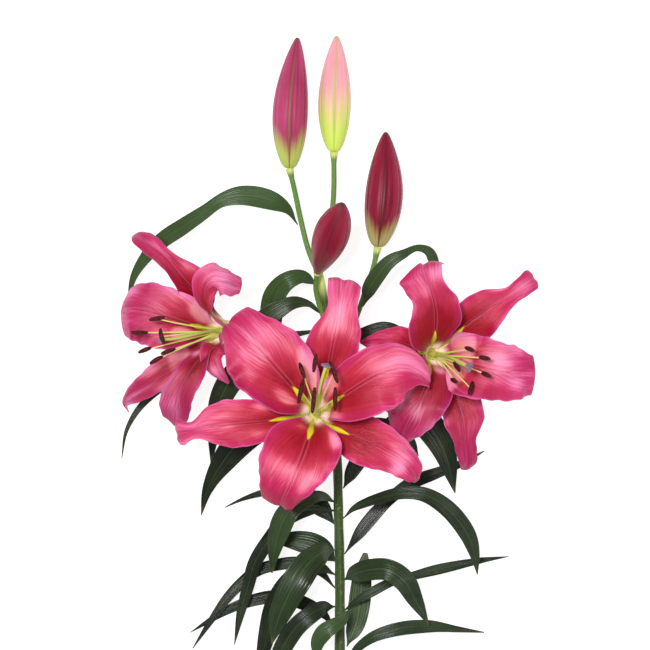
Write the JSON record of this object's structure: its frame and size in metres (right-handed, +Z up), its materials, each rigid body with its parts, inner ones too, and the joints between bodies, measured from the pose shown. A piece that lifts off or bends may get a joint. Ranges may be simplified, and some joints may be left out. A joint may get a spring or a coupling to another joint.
{
  "type": "cut lily stem",
  "caption": "Cut leafy lily stem lying down, with open recurved pink flowers facing up and closed spindle buds on stalks at its upper end.",
  "frame": {"origin": "bottom centre of the lying stem's bounding box, on the surface that it lies on", "axes": "+Y along the stem from its cut end to the bud tips, +Z up, the way the flowers face"},
  "size_m": [0.3392, 0.5652, 0.125],
  "materials": {
    "petal": "satin crimson pink petal with fine lengthwise streaks, a green nectar groove and a pale throat",
    "bud": "satin crimson to pink bud skin with an olive midrib and a green base",
    "pale_bud": "satin pale pink bud skin that turns lime green towards its base",
    "leaf": "waxy dark green leaf with parallel veins and a paler underside",
    "stem": "satin green stem, darker low down and lighter on the flower stalks",
    "anther": "powdery maroon brown anther on a pale green filament",
    "pistil": "smooth pale green style with a grey violet stigma"
  },
  "bodies": {
    "root": {"center_petal_bottom": "petal", "center_petal_upper_left": "petal", "center_petal_upper_right": "petal", "center_pistil": "pistil", "center_sepal_left": "petal", "center_sepal_lower_right": "petal", "center_sepal_top": "petal", "center_stamens": "anther", "first_bud": "bud", "fourth_bud": "bud", "leaf_behind_petals": "leaf", "leaf_first_bud": "leaf", "leaf_fourth_bud": "leaf", "leaf_front_broad": "leaf", "leaf_front_folded": "leaf", "leaf_front_lower": "leaf", "leaf_left_broad": "leaf", "leaf_left_curled": "leaf", "leaf_left_dark": "leaf", "leaf_left_far": "leaf", "leaf_left_flower": "leaf", "leaf_left_hanging": "leaf", "leaf_left_low_behind": "leaf", "leaf_left_lowest": "leaf", "leaf_left_narrow": "leaf", "leaf_left_short": "leaf", "leaf_left_sweep": "leaf", "leaf_left_upper": "leaf", "leaf_right_far": "leaf", "leaf_right_high_arch": "leaf", "leaf_right_low_arch": "leaf", "leaf_right_lowest": "leaf", "leaf_right_middle": "leaf", "leaf_right_passing": "leaf", "leaf_right_short": "leaf", "leaf_right_upper": "leaf", "leaf_under_right_flower": "leaf", "left_petal_bottom": "petal", "left_petal_left": "petal", "left_petal_upper_right": "petal", "left_pistil": "pistil", "left_sepal_lower_left": "petal", "left_sepal_lower_right": "petal", "left_sepal_upper_left": "petal", "left_stamens": "anther", "right_petal_lower_left": "petal", "right_petal_right": "petal", "right_petal_top": "petal", "right_pistil": "pistil", "right_sepal_left": "petal", "right_sepal_lower_right": "petal", "right_sepal_upper_right": "petal", "right_stamens": "anther", "second_bud": "pale_bud", "stem": "stem", "third_bud": "bud"}
  },
  "joints": []
}
